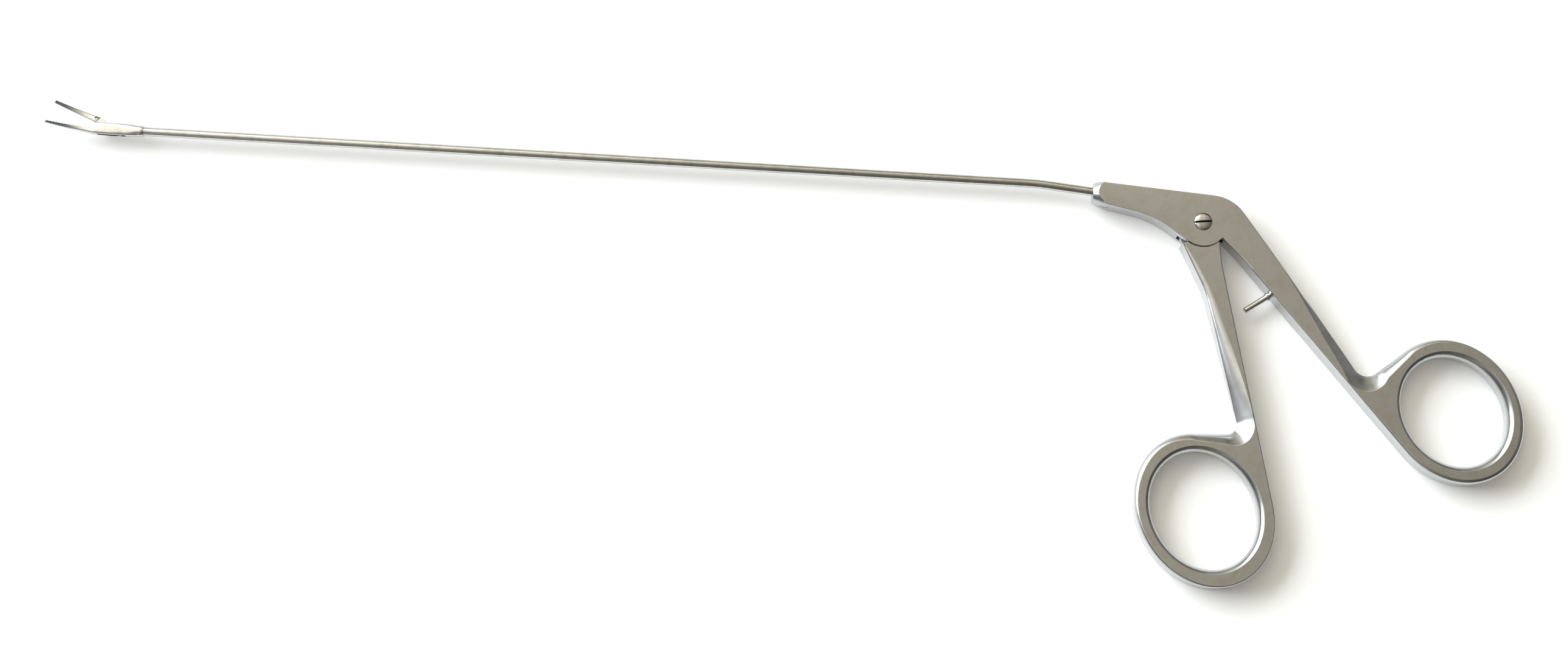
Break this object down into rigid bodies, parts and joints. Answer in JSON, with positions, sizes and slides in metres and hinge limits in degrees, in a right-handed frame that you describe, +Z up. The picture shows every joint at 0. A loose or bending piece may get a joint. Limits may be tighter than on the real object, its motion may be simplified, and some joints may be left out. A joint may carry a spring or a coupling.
{
  "type": "grasping forceps",
  "caption": "Ring-handled alligator grasping forceps: a scissor handle drives a rod through a thin bent tube and swings a serrated upper jaw onto a fixed one.",
  "frame": {"origin": "on the pivot screw's axis, on the flat underside that the closed side of the handles lies on", "axes": "+X runs from the jaws along the straight tube to the handles, +Z is up from the table, square to the handles' flat faces, and +Y is the side that the upper jaw opens towards"},
  "size_m": [0.3234, 0.0913, 0.0058],
  "materials": {
    "satin_steel": "satin, glass bead blasted and buffed",
    "polished_steel": "turned and polished",
    "drawn_steel": "drawn, drawn lengthwise",
    "ground_steel": "fine ground"
  },
  "bodies": {
    "frame": {"rear_handle": "satin_steel", "pivot_screw": "polished_steel", "stop_pin": "polished_steel", "shaft_tube": "drawn_steel", "tube_set_pin": "satin_steel", "jaw_housing": "ground_steel", "jaw_pin": "polished_steel"},
    "lever": {"front_handle": "satin_steel"},
    "rod": {"drive_rod": "drawn_steel", "rod_barrel": "polished_steel", "jaw_drive_pin": "polished_steel"},
    "jaw": {"moving_jaw": "ground_steel"}
  },
  "joints": [
    {"name": "handle", "type": "hinge", "parent": "frame", "child": "lever", "pos_m": [0, 0, 0.00275], "axis": [0, 0, 1], "range_deg": [-4, 5.84]},
    {"name": "rod_slide", "type": "slide", "parent": "frame", "child": "rod", "axis": [-1, 0, 0], "range_m": [-0.000263, 0.000384]},
    {"name": "jaw_hinge", "type": "hinge", "parent": "frame", "child": "jaw", "pos_m": [-0.2376, 0.00625, 0.00275], "axis": [0, 0, 1], "range_deg": [-10.42, 15.21]}
  ],
  "couplings": [
    {"joint": "rod_slide", "follows": "handle", "m_per_rad": 0.00376},
    {"joint": "jaw_hinge", "follows": "handle", "ratio": 2.604}
  ]
}
